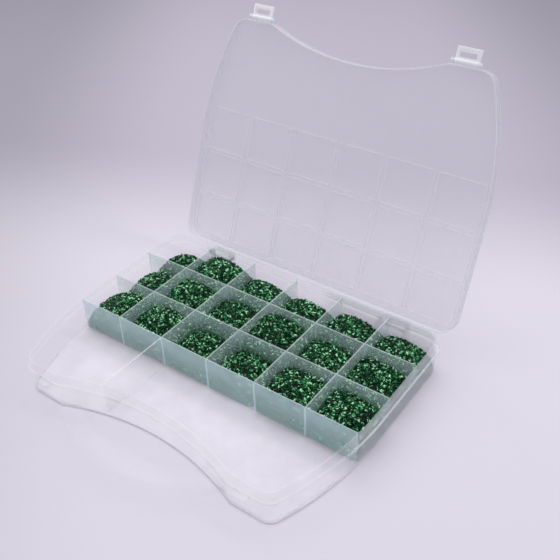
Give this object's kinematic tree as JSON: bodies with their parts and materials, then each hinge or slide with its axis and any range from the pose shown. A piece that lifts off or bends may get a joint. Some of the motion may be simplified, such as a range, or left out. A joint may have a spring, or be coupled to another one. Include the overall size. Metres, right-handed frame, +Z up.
{
  "type": "bead organizer box",
  "caption": "Shallow clear plastic bead organizer with a grid of small compartments, long front compartments, a carry handle and a hinged lid with two fold-over latches.",
  "frame": {"origin": "middle of the tray's flat underside", "axes": "+Z up, +Y from the handle to the hinges, +X to the right seen from the handle"},
  "size_m": [0.2702, 0.319, 0.2179],
  "materials": {
    "clear_plastic": "frosted clear polypropylene",
    "lid_plastic": "frosted clear polypropylene",
    "latch_plastic": "milky translucent",
    "bead_glass": "glossy, silver-lined green"
  },
  "bodies": {
    "base": {"tray_floor": "clear_plastic", "tray_wall": "clear_plastic", "grid_front_wall": "clear_plastic", "front_divider": "clear_plastic", "carry_handle": "clear_plastic", "row_divider_1": "clear_plastic", "row_divider_2": "clear_plastic", "column_divider_1_1": "clear_plastic", "column_divider_1_2": "clear_plastic", "column_divider_1_3": "clear_plastic", "column_divider_1_4": "clear_plastic", "column_divider_1_5": "clear_plastic", "column_divider_2_1": "clear_plastic", "column_divider_2_2": "clear_plastic", "column_divider_2_3": "clear_plastic", "column_divider_2_4": "clear_plastic", "column_divider_2_5": "clear_plastic", "column_divider_3_1": "clear_plastic", "column_divider_3_2": "clear_plastic", "column_divider_3_3": "clear_plastic", "column_divider_3_4": "clear_plastic", "column_divider_3_5": "clear_plastic", "hinge_bracket_left": "clear_plastic", "hinge_bracket_right": "clear_plastic", "latch_lug_left": "clear_plastic", "latch_lug_right": "clear_plastic", "bead_heap_1_1": "bead_glass", "bead_heap_1_2": "bead_glass", "bead_heap_1_3": "bead_glass", "bead_heap_1_4": "bead_glass", "bead_heap_1_5": "bead_glass", "bead_heap_1_6": "bead_glass", "bead_heap_2_1": "bead_glass", "bead_heap_2_2": "bead_glass", "bead_heap_2_3": "bead_glass", "bead_heap_2_4": "bead_glass", "bead_heap_2_5": "bead_glass", "bead_heap_2_6": "bead_glass", "bead_heap_3_1": "bead_glass", "bead_heap_3_2": "bead_glass", "bead_heap_3_3": "bead_glass", "bead_heap_3_4": "bead_glass", "bead_heap_3_5": "bead_glass", "bead_heap_3_6": "bead_glass"},
    "lid": {"lid_panel": "lid_plastic", "lid_skirt": "lid_plastic", "lid_ribs": "lid_plastic", "lid_hinge_left": "lid_plastic", "lid_hinge_right": "lid_plastic", "latch_ears_left": "lid_plastic", "latch_ears_right": "lid_plastic"},
    "left_latch": {"latch_left": "latch_plastic"},
    "right_latch": {"latch_right": "latch_plastic"}
  },
  "joints": [
    {"name": "lid_hinge", "type": "hinge", "parent": "base", "child": "lid", "pos_m": [0, 0.1036, 0.017], "axis": [1, 0, 0], "range_deg": [0, 110]},
    {"name": "left_latch_pivot", "type": "hinge", "parent": "lid", "child": "left_latch", "pos_m": [-0.091, 0.18066, 0.20796], "axis": [1, 0, 0], "range_deg": [0, 90]},
    {"name": "right_latch_pivot", "type": "hinge", "parent": "lid", "child": "right_latch", "pos_m": [0.091, 0.18066, 0.20796], "axis": [1, 0, 0], "range_deg": [0, 90]}
  ]
}
